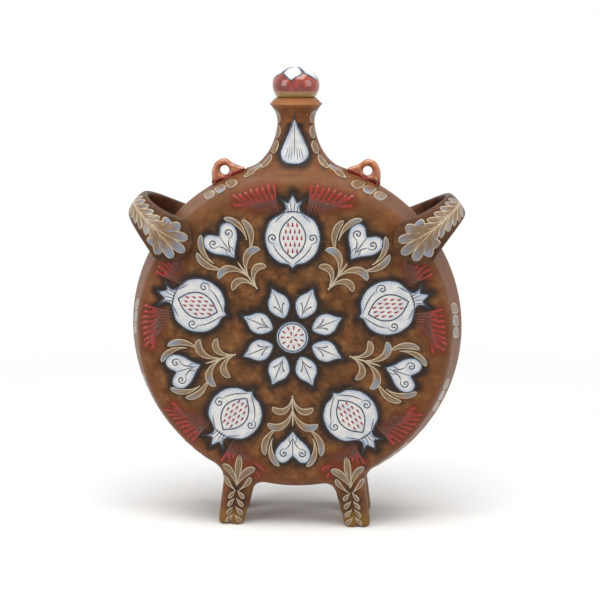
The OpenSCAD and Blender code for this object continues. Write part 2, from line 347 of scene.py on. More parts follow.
def object_noise(tree, size, detail=3.0, roughness=0.55, stretch=(1, 1, 1)):
    """Noise whose blotches are about size millimetres across."""
    place = add(tree, "ShaderNodeTexCoord").outputs["Object"]
    scaled = add(tree, "ShaderNodeMapping", {0: place, "Scale": stretch}).outputs[0]
    return add(tree, "ShaderNodeTexNoise", {
        "Vector": scaled, "Scale": 1 / (size * MM), "Detail": detail, "Roughness": roughness,
    }).outputs["Fac"]


def mixed(tree, share, a, b, blend="MIX"):
    """Two colours mixed by a share; either may be hex."""
    a, b = (linear(c) if isinstance(c, str) else c for c in (a, b))
    made = add(tree, "ShaderNodeMix", data_type="RGBA", blend_type=blend)
    for socket, value in ((made.inputs[0], share), (made.inputs[6], a), (made.inputs[7], b)):
        if isinstance(value, bpy.types.NodeSocket):
            tree.links.new(value, socket)
        else:
            socket.default_value = value
    return made.outputs[2]


def maths(tree, operation, *values):
    return add(tree, "ShaderNodeMath", dict(enumerate(values)), operation=operation).outputs[0]


def ease(tree, value, start, end, low=0.0, high=1.0):
    """Eases from low to high while value goes from start to end."""
    return add(tree, "ShaderNodeMapRange", {
        "Value": value, "From Min": start, "From Max": end, "To Min": low, "To Max": high,
    }, interpolation_type="SMOOTHSTEP").outputs["Result"]


# Burnished stoneware under a thin brown slip: rubbed with a stone when leather
# hard, so it is satin rather than glossy, mottled, golden where it is worn
def burnished_stoneware():
    material, tree, shader = new_material("burnished_stoneware")
    mottle = object_noise(tree, 9, 5, 0.62)
    cloud = object_noise(tree, 46, 2, 0.5)
    rub = object_noise(tree, 3.2, 4, 0.7, (0.35, 1, 1))
    base = add(tree, "ShaderNodeValToRGB", {0: mottle}, stops=[
        (0.28, "#422b1c"), (0.46, "#5b3a24"), (0.58, "#6d472b"), (0.74, "#85603c"),
    ]).outputs[0]
    place = add(tree, "ShaderNodeTexCoord").outputs["Object"]
    centred = add(tree, "ShaderNodeMapping", {0: place, "Location": (0, 0, -body_z * MM), "Scale": (1, 0, 1)})
    radius = add(tree, "ShaderNodeVectorMath", {0: centred.outputs[0]}, operation="LENGTH").outputs["Value"]
    rim = ease(tree, radius, 0.75 * body_r * MM, 0.95 * body_r * MM)
    reddish = mixed(tree, maths(tree, "MULTIPLY", rim, 0.55), base, "#6e4026")
    patchy = mixed(tree, ease(tree, cloud, 0.45, 0.68, 0, 0.5), reddish, "#5c4028")
    rust = add(tree, "ShaderNodeAttribute", attribute_name="rust").outputs["Fac"]
    rusty = mixed(tree, maths(tree, "MULTIPLY", rust, 0.75), patchy, "#632a1c")
    halo = add(tree, "ShaderNodeAttribute", attribute_name="halo").outputs["Fac"]
    wavy = maths(tree, "ADD", halo, maths(tree, "MULTIPLY", maths(tree, "SUBTRACT", mottle, 0.5), 7.0))
    shade = ease(tree, wavy, 8.0, 1.0, 0, 0.95)
    dark = mixed(tree, shade, rusty, "#211f20")
    height = add(tree, "ShaderNodeSeparateXYZ", {0: place}).outputs[2]
    lip_tint = mixed(tree, ease(tree, height, (lip_z - 4) * MM, lip_z * MM, 0, 0.7), dark, "#8f5c35")
    toe_tint = mixed(tree, ease(tree, height, 17 * MM, 9 * MM, 0, 0.7), lip_tint, "#80602f")
    worn = mixed(tree, ease(tree, rub, 0.6, 0.78, 0, 0.35), toe_tint, "#a98250")
    tree.links.new(worn, shader.inputs["Base Color"])
    tree.links.new(ease(tree, rub, 0.3, 0.7, 0.36, 0.52), shader.inputs["Roughness"])
    bump = add(tree, "ShaderNodeBump", {"Height": rub, "Strength": 0.25, "Distance": 0.0004})
    tree.links.new(bump.outputs[0], shader.inputs["Normal"])
    shader.inputs["Specular IOR Level"].default_value = 0.32
    shader.inputs["Specular Tint"].default_value = linear("#cfa884")
    return material


stoneware = burnished_stoneware()
vessel_faces = list(skin_quads) + list(np.concatenate(ring_quads)) + [bottom[::-1]]
vessel = new_piece("vessel", points, vessel_faces, stoneware)
vessel.data.set_sharp_from_angle(angle=math.radians(50))
skin_normals = slope(vessel_distance, skin)
skin_normals /= np.linalg.norm(skin_normals, axis=1)[:, None]
corner_normals = np.zeros(len(vessel.data.loops) * 3, np.float32)
vessel.data.corner_normals.foreach_get("vector", corner_normals)
corner_normals = corner_normals.reshape(-1, 3)
corner_verts = np.zeros(len(vessel.data.loops), np.int32)
vessel.data.loops.foreach_get("vertex_index", corner_verts)
on_skin = corner_verts < len(skin)
corner_normals[on_skin] = skin_normals[corner_verts[on_skin]]
vessel.data.normals_split_custom_set(corner_normals)
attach(vessel, "vessel")
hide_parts("front_shell", "back_shell", "neck",
            "front_left_foot", "front_right_foot", "back_left_foot", "back_right_foot")

# Where a painter works on the face: a flat plan in millimetres, laid from the
# middle of the face over the rounded corner and the rim band to the ridge
face_length = dome_r * dome_tilt
corner_turn = math.pi / 2 - band_tilt - dome_tilt
corner_length = corner_r * corner_turn
band_length = (corner_y + corner_r * math.sin(band_tilt)) / math.cos(band_tilt)


def profile(s):
    """The section's distance from the axis and depth, s along it from the middle."""
    a = np.minimum(s, face_length) / dome_r
    b = dome_tilt + np.clip(s - face_length, 0, corner_length) / corner_r
    c = np.maximum(s - face_length - corner_length, 0)
    on_face = s < face_length
    rho = np.where(on_face, dome_r * np.sin(a), corner_x + corner_r * np.sin(b) + c * math.sin(band_tilt))
    depth = np.where(
        on_face, face_depth - dome_r + dome_r * np.cos(a),
        corner_y + corner_r * np.cos(b) - c * math.cos(band_tilt),
    )
    return rho, depth


def on_body(flat, side=-1):
    """The plan laid on the front (side -1) or the back (side 1)."""
    s, a = np.hypot(flat[:, 0], flat[:, 1]), np.arctan2(flat[:, 1], flat[:, 0])
    rho, depth = profile(s)
    return np.column_stack([-side * rho * np.cos(a), side * depth, body_z + rho * np.sin(a)])


def on_rim(flat, side=-1):
    """Along the ridge in degrees from the right, and in from the ridge."""
    a = np.radians(flat[:, 0])
    rho, depth = profile(face_length + corner_length + band_length - flat[:, 1])
    return np.column_stack([-side * rho * np.cos(a), side * depth, body_z + rho * np.sin(a)])


def on_front(flat, side=-1):
    """A plan seen straight from the front, thrown onto the clay behind it."""
    x, z = -side * flat[:, 0], flat[:, 1]
    near, far = np.full(len(x), face_depth + 8.0), np.zeros(len(x))
    for _ in range(20):
        middle = (near + far) / 2
        inside = vessel_distance(np.column_stack([x, side * middle, z])) < 0
        far, near = np.where(inside, middle, far), np.where(inside, near, middle)
    return np.column_stack([x, side * near, z])


def on_neck(flat, side=-1):
    """Round the neck, in degrees from the front, at a height."""
    a = np.radians(flat[:, 0]) + (0 if side < 0 else math.pi)
    out = np.column_stack([np.sin(a), -np.cos(a)])
    near, far = np.full(len(a), 70.0), np.full(len(a), 5.0)
    for _ in range(20):
        middle = (near + far) / 2
        inside = vessel_distance(np.column_stack([out * middle[:, None], flat[:, 1]])) < 0
        far, near = np.where(inside, middle, far), np.where(inside, near, middle)
    return np.column_stack([out * near[:, None], flat[:, 1]])


def drape(flat, lift, surface):
    """Lays a plan on a surface and raises it by lift along the normal."""
    flat = np.asarray(flat, float)
    step = 0.02
    here = surface(flat)
    normal = np.cross(surface(flat + (step, 0)) - here, surface(flat + (0, step)) - here)
    normal /= np.maximum(np.linalg.norm(normal, axis=1), 1e-12)[:, None]
    return here + normal * np.asarray(lift, float)[:, None]


def moved(flat, turn=0.0, out=0.0, flip=1):
    """A plan pushed out from the middle and turned about it, in degrees from up."""
    flat = np.asarray(flat, float) * (flip, 1) + (0, out)
    a = math.radians(turn)
    return flat @ np.array([[math.cos(a), math.sin(a)], [-math.sin(a), math.cos(a)]])


def outline(nodes, spacing=0.8):
    """A closed line through nodes of x, y and, where it has a point, True."""
    places = np.array([node[:2] for node in nodes], float)
    sharp = [len(node) > 2 for node in nodes]
    line = []
    for i in range(len(nodes)):
        p0, p1, p2, p3 = (places[(i + k) % len(nodes)] for k in (-1, 0, 1, 2))
        m1 = p2 - p1 if sharp[i] else (p2 - p0) / 2
        m2 = p2 - p1 if sharp[(i + 1) % len(nodes)] else (p3 - p1) / 2
        count = max(2, round(np.linalg.norm(p2 - p1) / spacing))
        t = (np.arange(count) / count)[:, None]
        line.append(
            (2 * t**3 - 3 * t**2 + 1) * p1 + (t**3 - 2 * t**2 + t) * m1
            + (3 * t**2 - 2 * t**3) * p2 + (t**3 - t**2) * m2
        )
    return np.concatenate(line)


def mirrored(nodes):
    """A whole outline from its right half, listed from the bottom to the top."""
    left = [(-node[0], *node[1:]) for node in nodes[::-1] if node[0] > 0]
    return outline(nodes + left)


def circle(r, count=None):
    a = np.linspace(0, 2 * math.pi, count or max(12, round(2 * math.pi * r / 0.9)), endpoint=False)
    return np.column_stack([r * np.cos(a), r * np.sin(a)])


def edge_of(line, p):
    """Each point's distance to a closed line, how far along it, and if inside."""
    a, b = line, np.roll(line, -1, 0)
    d = b - a
    t = np.clip(((p[:, None] - a) * d).sum(2) / (d**2).sum(1), 0, 1)
    gap = np.linalg.norm(p[:, None] - a - t[..., None] * d, axis=2)
    nearest = gap.argmin(1)
    rows = np.arange(len(p))
    length = np.linalg.norm(d, axis=1)
    along = np.concatenate([[0], np.cumsum(length)[:-1]])[nearest] + t[rows, nearest] * length[nearest]
    crosses = (a[:, 1] > p[:, None, 1]) != (b[:, 1] > p[:, None, 1])
    rise = np.where(d[:, 1] == 0, 1e-12, d[:, 1])
    right = p[:, None, 0] < a[:, 0] + (p[:, None, 1] - a[:, 1]) * d[:, 0] / rise
    return gap[rows, nearest], along, (crosses & right).sum(1) % 2 == 1


def filled(line, spacing=1.25):
    """A flat sheet inside a closed line: its points, faces and marks."""
    low, high = line.min(0), line.max(0)
    rows = np.arange(low[1], high[1], spacing * 0.866)
    inner = np.array([
        (x + (i % 2) * spacing / 2, y)
        for i, y in enumerate(rows) for x in np.arange(low[0], high[0], spacing)
    ])
    gap, _, inside = edge_of(line, inner)
    inner = inner[inside & (gap > 0.6 * spacing)]
    everything = [Vector(p) for p in np.concatenate([line, inner])]
    ring = [(i, (i + 1) % len(line)) for i in range(len(line))]
    flat, _, faces, *_ = delaunay_2d_cdt(everything, ring, [], 1, 1e-5)
    flat = np.array([tuple(p) for p in flat])
    gap, along, _ = edge_of(line, flat)
    gap[gap < 1e-4] = 0
    return flat, [tuple(face) for face in faces], {"edge": gap, "along": along}


def ribbon(path, widths, columns=4):
    """A flat stroke along a path: its points, faces and marks."""
    path, widths = np.asarray(path, float), np.asarray(widths, float)
    forward = np.gradient(path, axis=0)
    forward /= np.maximum(np.linalg.norm(forward, axis=1), 1e-9)[:, None]
    left = np.column_stack([-forward[:, 1], forward[:, 0]])
    v = np.linspace(-1, 1, columns + 1)
    flat = (path[:, None] - left[:, None] * widths[:, None, None] * v[:, None]).reshape(-1, 2)
    i, j = np.meshgrid(np.arange(len(path) - 1), np.arange(columns), indexing="ij")
    corner = (i * (columns + 1) + j).ravel()
    faces = np.stack([corner, corner + 1, corner + columns + 2, corner + columns + 1], 1)
    across = np.tile(v, len(path))
    width = np.repeat(widths, columns + 1)
    t = np.repeat(np.linspace(0, 1, len(path)), columns + 1)
    return flat, faces, {"edge": width * (1 - np.abs(across)), "across": across, "along": t}


def tapered(length_points, width, head=0.75, root=0.12):
    """Half widths of a comma stroke: thin at the root, full near its round end."""
    t = np.linspace(0, 1, length_points)
    swell = root + (1 - root) * np.sin(np.minimum(t / head, 1) * math.pi / 2) ** 1.6
    end = np.sqrt(np.maximum(1 - np.maximum((t - head) / (1 - head), 0) ** 2, 0))
    return width * swell * np.maximum(end, 0.02)


class Coat:
    """Shapes painted with one slip or glaze, gathered into one piece."""

    def __init__(self, marks):
        self.points, self.faces, self.count = [], [], 0
        self.marks = {mark: [] for mark in marks}

    def lay(self, sheet, lift, surface, **extra):
        flat, faces, marks = sheet
        placed = drape(flat, lift, surface)
        self.faces += [tuple(int(i) + self.count for i in face) for face in faces]
        self.points.append(placed)
        self.count += len(placed)
        for mark, values in self.marks.items():
            value = marks.get(mark, extra.get(mark, 0.0))
            values.append(np.broadcast_to(value, len(placed)))

    def piece(self, name, material, body, slot):
        made = new_piece(name, np.concatenate(self.points), self.faces, material, {
            mark: np.concatenate(values) for mark, values in self.marks.items()
        })
        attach(made, body)


white = Coat(["edge", "along"])
leaves = Coat(["edge", "across", "along", "tone", "blue"])
lines = Coat(["along"])
feathers = Coat(["along"])
white_lift, line_lift, leaf_lift, feather_lift = 0.5, 0.12, 0.3, 0.28
halo_places, leaf_places, feather_places, seeds, dots = [], [], [], [], []
chance = np.random.default_rng(7)


def raised(edge, lift, run=1.1):
    """The height of a glaze over its ground, rounded down at its edge."""
    t = np.clip(np.asarray(edge) / run, 0, 1)
    return 0.02 + lift * np.sqrt(1 - (1 - t) ** 2)


def paint_white(line, surface):
    sheet = filled(line)
    white.lay(sheet, raised(sheet[2]["edge"], white_lift), surface)
    halo_places.append(surface(line))


def paint_line(path, width, surface, base=white_lift, ends=True):
    """A thin cobalt line on the white, drawn out at its ends."""
    path = np.asarray(path, float)
    t = np.linspace(0, 1, len(path))
    widths = width * (np.sin(math.pi * np.clip(t, 0.02, 0.98)) ** 0.35 if ends else np.ones(len(path)))
    sheet = ribbon(path, widths, 2)
    lift = base + line_lift * (1 - np.abs(sheet[2]["across"])) + 0.03
    lines.lay(sheet, lift, surface)


def paint_leaf(path, width, surface, blue=0.0, head=0.7, root=0.14):
    sheet = ribbon(path, tapered(len(path), width, head, root), 6)
    height = 0.05 + leaf_lift * np.sqrt(np.clip(sheet[2]["edge"], 0, 1))
    leaves.lay(sheet, height, surface, tone=chance.uniform(), blue=blue)
    leaf_places.append(surface(np.asarray(path, float)))


def spiral(centre, r, turns=1.35, start=0.0, flip=1):
    """A line that winds in to a dot."""
    t = np.linspace(0, 1, 34)
    a = math.radians(start) + turns * 2 * math.pi * t
    reach = r * (1 - 0.86 * t**0.8)
    return np.column_stack([flip * reach * np.cos(a), reach * np.sin(a)]) + np.asarray(centre)


def bend(points, count=18):
    """Points on a cubic, or on the straight line between two points."""
    if len(points) == 2:
        return np.linspace(points[0], points[1], count)
    return curve(points, np.linspace(0, 1, count))


# The faces: the same design on both, in white tin glaze over the brown slip,
# with cobalt lines and iron red seeds: a rosette, fruits and hearts in a ring
petal = mirrored([(0, 16.5, True), (4.6, 19.5), (9.6, 27), (8.6, 35), (3.6, 41), (0, 47, True)])
fruit = mirrored([
    (0, -28, True), (3.2, -23.5), (12, -21), (20.5, -12.5), (23.5, 1), (19, 14), (9.5, 20.5), (6.5, 24),
    (8.2, 28.5), (13, 33.5, True), (7, 31), (4, 29.5, True), (0, 37.5, True),
])
window = mirrored([(0, -17.5, True), (7.8, -9.5), (10.8, 0), (7.8, 9.5), (0, 17.5, True)])
heart = mirrored([(0, -17, True), (5, -10.5), (13, -2.5), (16, 6), (12.5, 13), (6, 13.5), (0, 8, True)])
fruit_out, heart_out, ring_count = 83.5, 97.0, 5
seed_pitch, seed_size, dot_size = 3.7, (4.6, 2.5, 0.7), (2.1, 2.1, 0.5)


def set_drop(drops, flat, heading, surface, size):
    """A drop of glaze at a place of the plan, its round end towards heading."""
    a = math.radians(heading)
    ahead = np.array(flat, float) + 0.5 * np.array([math.cos(a), math.sin(a)])
    here, there = drape([flat, ahead], [white_lift, white_lift], surface)
    up = drape([flat], [white_lift + 1], surface)[0] - here
    drops.append((here, up, there - here, size))


def paint_fruit(turn, surface):
    def at(flat, flip=1):
        return moved(flat, turn, fruit_out, flip)

    paint_white(at(fruit), surface)
    closed = np.concatenate([window, window[:1]])
    paint_line(at(closed), 0.6, surface, ends=False)
    for y in np.arange(-2, 3) * 5.4:
        half = np.interp(abs(y), [0, 9, 17.5], [10.2, 7.2, 0])
        count = int(2 * half / seed_pitch)
        for x in (np.arange(count) - (count - 1) / 2) * seed_pitch:
            set_drop(seeds, at([(x, y)])[0], turn - 90, surface, seed_size)
    for flip in (1, -1):
        path = spiral((16.4, -0.5), 4.9, 1.35, 250)
        paint_line(at(path, flip), 0.56, surface)
        set_drop(dots, at(path[-1:], flip)[0], 0, surface, dot_size)
        paint_line(at(bend([(16, -6), (13, -13), (8, -17), (1.2, -22)]), flip), 0.5, surface)
        paint_line(at(bend([(14.5, 12), (12, 16), (9, 17), (6.5, 21)]), flip), 0.4, surface)
        for x in (1.2, 3.6):
            paint_line(at(bend([(x, 19.5), (x, 23), (x * 1.1, 25), (x * 1.6, 29)]), flip), 0.36, surface)
    paint_line(at(bend([(-9.5, 19.8), (-3, 22), (3, 22), (9.5, 19.8)])), 0.6, surface)


def paint_heart(turn, surface):
    def at(flat, flip=1):
        return moved(flat, turn, heart_out, flip)

    paint_white(at(heart), surface)
    for flip in (1, -1):
        path = spiral((7.6, 4.6), 4.6, 1.3, 240)
        paint_line(at(path, flip), 0.58, surface)
        set_drop(dots, at(path[-1:], flip)[0], 0, surface, dot_size)
        paint_line(at(bend([(5.6, 0.2), (3, -2), (1.4, -5), (0.7, -9)]), flip), 0.5, surface)
        paint_line(at(bend([(1.8, -4), (3.2, -7), (3.4, -8), (2.6, -10.5)]), flip), 0.36, surface)
    paint_line(at(bend([(0, 7), (0, 2), (0, -4), (0, -13)])), 0.42, surface)


def paint_spray(turn, surface):
    """Scrolled leaves in tan slip, from the rosette to either side of a heart."""
    def at(flat, flip=1):
        return moved(flat, turn, 0, flip)

    paint_leaf(at(bend([(0, 50), (0.6, 58), (-0.6, 66), (0, 78)])), 0.75, surface, root=0.9)
    for flip in (1, -1):
        paint_leaf(at(bend([(0.8, 53), (2, 63), (11, 69), (17.5, 60.5)]), flip), 3.0, surface, 0.0)
        paint_leaf(at(bend([(0.6, 64), (3, 75), (13, 84), (21.5, 75)]), flip), 3.3, surface, chance.uniform())
        paint_leaf(at(bend([(12, 78), (20, 84), (27, 92), (23.5, 104)]), flip), 2.8, surface, chance.uniform())
        paint_leaf(at(bend([(17, 88), (21, 97), (19, 108), (11.5, 113.5)]), flip), 2.5, surface, 0.6)


def paint_fan(turn, spread, flip, surface, root_r=101.0, tip_r=128.5, count=8):
    """Feather strokes in iron red that fan out to the rounded corner."""
    for i in range(count):
        for row in (0, 1):
            share = (i + 0.5 * row) / (count - 0.5)
            a = math.radians(share * spread)
            tip = tip_r - 8.0 * row + chance.uniform(-1.5, 1.5)
            base = root_r + 5.0 * share + 6.0 * row
            lean = 0.5 * a
            path = bend([
                (base * math.sin(lean), base * math.cos(lean)),
                ((base + 7) * math.sin(lean), (base + 7) * math.cos(lean)),
                ((tip - 6) * math.sin(a * 0.97), (tip - 6) * math.cos(a * 0.97)),
                (tip * math.sin(a), tip * math.cos(a)),
            ], 14)
            width = chance.uniform(0.85, 1.2)
            sheet = ribbon(moved(path, turn, 0, flip), tapered(14, width, 0.85, 0.2), 4)
            feathers.lay(sheet, 0.04 + feather_lift * (1 - sheet[2]["across"] ** 2), surface)
            feather_places.append(surface(moved(path[3:], turn, 0, flip)))


def paint_face(side):
    def surface(flat):
        return on_body(flat, side)

    for i in range(8):
        paint_white(moved(petal, 22.5 + 45 * i), surface)
        for flip in (1, -1):
            path = bend([(0.6, 22), (1.2, 28), (6.4, 32), (4.2, 28.6)])
            paint_line(moved(path, 22.5 + 45 * i, 0, flip), 0.45, surface)
        paint_line(moved(bend([(0, 19), (0, 27), (0, 33), (0, 42)]), 22.5 + 45 * i), 0.42, surface)
    paint_white(circle(14.2), surface)
    paint_line(np.concatenate([circle(11.7), circle(11.7)[:1]]), 0.5, surface, ends=False)
    for r, count in ((3.2, 5), (8.0, 11)):
        for i in range(count):
            a = 360 / count * (i + 0.5)
            place = (r * math.cos(math.radians(a)), r * math.sin(math.radians(a)))
            set_drop(seeds, place, a, surface, (4.2, 2.4, 0.7))
    for i in range(ring_count):
        turn = 360 / ring_count * i
        paint_fruit(turn, surface)
        paint_heart(turn + 180 / ring_count, surface)
        paint_spray(turn + 180 / ring_count, surface)
        for flip in (1, -1):
            paint_fan(turn - flip * 7.0, 17.0, flip, surface)


paint_face(-1)
paint_face(1)

# The neck: a white drop at the front and back, and a garland of oval leaves
# down each flank and on along the rim band
drop = mirrored([(0, 311.4), (8, 313.2), (12.4, 320.5), (8.8, 331), (3.4, 343), (0, 354.5, True)])


def paint_oval(centre, length, width, turn, surface, scale, blue=0.0, side=1):
    """A round leaf about a place on the neck or rim: scale is mm per unit of x."""
    a = math.radians(turn)
    t = np.linspace(-0.5, 0.5, 15)
    bow = 0.12 * length * (1 - 4 * t**2)
    path = np.column_stack([
        centre[0] + side * (t * length * math.sin(a) + bow * math.cos(a)) / scale,
        centre[1] + t * length * math.cos(a) - bow * math.sin(a),
    ])
    half = 0.5 * width * np.sqrt(np.maximum(1 - (2 * t) ** 2, 0)) * (1 + 0.25 * t)
    flat = path * (scale, 1)
    sheet = ribbon(flat, np.maximum(half, 0.05), 6)
    plan = sheet[0] / (scale, 1)
    height = 0.05 + leaf_lift * np.sqrt(np.clip(sheet[2]["edge"], 0, 1))
    leaves.lay((plan, sheet[1], sheet[2]), height, surface, tone=chance.uniform(), blue=blue)
    leaf_places.append(surface(path))


for side in (-1, 1):
    def front(flat, side=side):
        return on_front(flat, side)

    def round_neck(flat, side=side):
        return on_neck(flat, side)

    def rim(flat, side=side):
        return on_rim(flat, side)

    paint_white(drop, front)
    paint_line(bend([(0, 318), (0.4, 326), (-0.3, 334), (0, 345)]), 0.3, front)
    for flip in (1, -1):
        for x in (2.6, 4.8, 7.0):
            path = bend([(x, 315 + 0.2 * x), (x, 318), (x * 0.9, 321), (x * 0.7, 326)])
            paint_line(path * np.array((flip, 1)), 0.26, front)
        for z, angle, radius, tint in (
            (351, 60, 16, 0.9), (338.5, 57, 17, 0.0), (326, 54, 20, 0.0), (314.5, 58, 28, 0.2),
            (306.5, 68, 36, 0.8),
        ):
            paint_oval((flip * angle, z), 10.8, 8.2, 8, round_neck, math.radians(radius), tint, flip)
        for group in (62, 4, -24, -52):
            for i, tint in enumerate((0.0, 0.9, 0.3)):
                place = 90 - flip * (90 - group + 4.4 * (i - 1))
                paint_oval((place, 20.5), 20, 9.4, 16, rim, math.radians(band_r(14)), tint, flip)

# The feet: a spray of pointed leaves where each foot meets the body, and
# banded leaf strokes down its two toes
foot_root = (49.0, 36)
foot_strokes = [
    ([foot_root, (46, 44), (41, 53), (32, 54)], 3.3), ([foot_root, (48, 46), (46.5, 55), (45.5, 66)], 3.0),
    ([foot_root, (51, 46), (54, 55), (61, 56)], 3.2), ([(47, 32), (41, 38), (38, 38), (37, 46)], 2.4),
    ([(51, 32), (55, 38), (58, 38), (59.5, 45)], 2.4),
]
for share in (0.0, 0.22, 0.44, 0.66):
    middle, fall = 49.5 + 4 * share, 30 - 34 * share
    for way in (-1, 1):
        stroke = [(0.8, 2), (2.6, -1), (4.6, -1.5), (6.4, -6)]
        foot_strokes.append(([(middle + way * x, fall + z) for x, z in stroke], 1.9))
for side in (-1, 1):
    def foot_front(flat, side=side):
        return on_front(flat, side)

    for flip in (1, -1):
        for path, width in foot_strokes:
            paint_leaf(bend(path) * np.array((flip, 1)), width, foot_front, chance.uniform(0, 0.5))


# White tin glaze: thick, glossy and a little uneven, cream where it lies deep
# and blue-grey towards the cobalt brush line that edges every shape
def white_glaze():
    material, tree, shader = new_material("white_tin_glaze")
    edge = add(tree, "ShaderNodeAttribute", attribute_name="edge").outputs["Fac"]
    along = add(tree, "ShaderNodeAttribute", attribute_name="along").outputs["Fac"]
    blotch = object_noise(tree, 7, 3)
    fine = object_noise(tree, 1.1, 2)
    hair_place = add(tree, "ShaderNodeCombineXYZ", {
        0: maths(tree, "MULTIPLY", along, 1.5), 1: maths(tree, "MULTIPLY", edge, 0.16),
    }).outputs[0]
    hairs = add(tree, "ShaderNodeTexNoise", {"Vector": hair_place, "Scale": 1.0, "Detail": 2.0}).outputs[0]
    deep = mixed(tree, ease(tree, blotch, 0.35, 0.7), "#cbc8c2", "#b3b7be")
    blue_reach = maths(tree, "ADD", edge, maths(tree, "MULTIPLY", maths(tree, "SUBTRACT", hairs, 0.5), 5.0))
    blued = mixed(tree, ease(tree, blue_reach, 4.2, 1.0, 0, 0.8), deep, "#8496ae")
    hair_line = maths(tree, "MULTIPLY", ease(tree, hairs, 0.6, 0.72), ease(tree, edge, 4.0, 1.2, 0, 0.6))
    haired = mixed(tree, hair_line, blued, "#3f4c5e")
    brush = maths(tree, "ADD", edge, maths(tree, "MULTIPLY", maths(tree, "SUBTRACT", fine, 0.5), 1.1))
    lined = mixed(tree, ease(tree, brush, 1.5, 1.0), haired, "#161c25")
    tree.links.new(lined, shader.inputs["Base Color"])
    tree.links.new(ease(tree, fine, 0.3, 0.7, 0.16, 0.3), shader.inputs["Roughness"])
    bump = add(tree, "ShaderNodeBump", {"Height": blotch, "Strength": 0.2, "Distance": 0.0004})
    tree.links.new(bump.outputs[0], shader.inputs["Normal"])
    return material


# Trailed tan slip round a leaf, brown inside with fine scratched veins; some
# leaves are washed with blue-grey towards their round end
def leaf_slip():
    material, tree, shader = new_material("tan_slip_leaf")
    edge, across, along, tone, blue = (
        add(tree, "ShaderNodeAttribute", attribute_name=name).outputs["Fac"]
        for name in ("edge", "across", "along", "tone", "blue")
    )
    fine, blotch = object_noise(tree, 0.9, 2), object_noise(tree, 5, 3)
    inside = mixed(tree, blotch, "#54391f", "#7d5830")
    inside = mixed(tree, maths(tree, "MULTIPLY", tone, 0.4), inside, "#6f604a")
    vein_place = add(tree, "ShaderNodeCombineXYZ", {
        0: maths(tree, "MULTIPLY", across, 4.5), 1: maths(tree, "MULTIPLY", along, 3.0),
        2: maths(tree, "MULTIPLY", tone, 40),
    }).outputs[0]
    veins = add(tree, "ShaderNodeTexNoise", {"Vector": vein_place, "Scale": 1.0, "Detail": 2.0}).outputs[0]
    veined = mixed(tree, ease(tree, veins, 0.54, 0.64, 0, 0.6), inside, "#a3906f")
    wash = maths(tree, "MULTIPLY", ease(tree, along, 0.45, 0.9, 0, 0.85), blue)
    washed = mixed(tree, wash, veined, "#73859b")
    brush = maths(tree, "ADD", edge, maths(tree, "MULTIPLY", maths(tree, "SUBTRACT", fine, 0.5), 0.5))
    trail = mixed(tree, blotch, "#957f5e", "#bbae94")
    trailed = mixed(tree, ease(tree, brush, 0.95, 0.65), washed, trail)
    tree.links.new(trailed, shader.inputs["Base Color"])
    shader.inputs["Roughness"].default_value = 0.36
    shader.inputs["Coat Weight"].default_value = 0.2
    return material


# Cobalt brush lines: blue-black, thin where the brush ran dry
def cobalt_line():
    material, tree, shader = new_material("cobalt_brush_line")
    dry = ease(tree, object_noise(tree, 1.6, 3), 0.35, 0.7)
    tree.links.new(mixed(tree, dry, "#161e29", "#4c5a70"), shader.inputs["Base Color"])
    shader.inputs["Roughness"].default_value = 0.25
    return material


# Iron red: a glossy red glaze, brown where it is thin
def iron_red(name, thin, thick, reach=None):
    material, tree, shader = new_material(name)
    blotch = object_noise(tree, 4, 4, 0.6)
    share = ease(tree, blotch, 0.3, 0.7)
    if reach:
        along = add(tree, "ShaderNodeAttribute", attribute_name="along").outputs["Fac"]
        share = maths(tree, "MULTIPLY", ease(tree, along, *reach), ease(tree, blotch, 0.2, 0.5, 0.75, 1))
    tree.links.new(mixed(tree, share, thin, thick), shader.inputs["Base Color"])
    shader.inputs["Roughness"].default_value = 0.24
    return material


white_material, leaf_material, line_material = white_glaze(), leaf_slip(), cobalt_line()
feather_material = iron_red("iron_red_feather", "#54281a", "#8e1a12", (0.4, 0.85))
seed_material = iron_red("iron_red_seed", "#7c1a1c", "#94161a")


def nearest(places, points):
    """How far each point is from the nearest of the places."""
    places = np.concatenate(places)
    tree = KDTree(len(places))
    for i, place in enumerate(places):
        tree.insert(place, i)
    tree.balance()
    return np.array([tree.find(point)[2] for point in points])


far_off = 40.0
halo = np.full(len(vessel.data.vertices), far_off)
rust = np.zeros(len(halo))
halo[:len(skin)] = np.minimum(nearest(halo_places, skin), nearest(leaf_places, skin) + 2.5)
rust[:len(skin)] = np.clip(1.25 - nearest(feather_places, skin) / 5.0, 0, 1)
for mark, values in (("halo", halo), ("rust", rust)):
    vessel.data.attributes.new(mark, "FLOAT", "POINT").data.foreach_set("value", values.astype(np.float32))

white.piece("white_ornament", white_material, "vessel", "white_glaze")
lines.piece("cobalt_lines", line_material, "vessel", "white_glaze")
feathers.piece("red_feather_strokes", feather_material, "vessel", "red_knob")


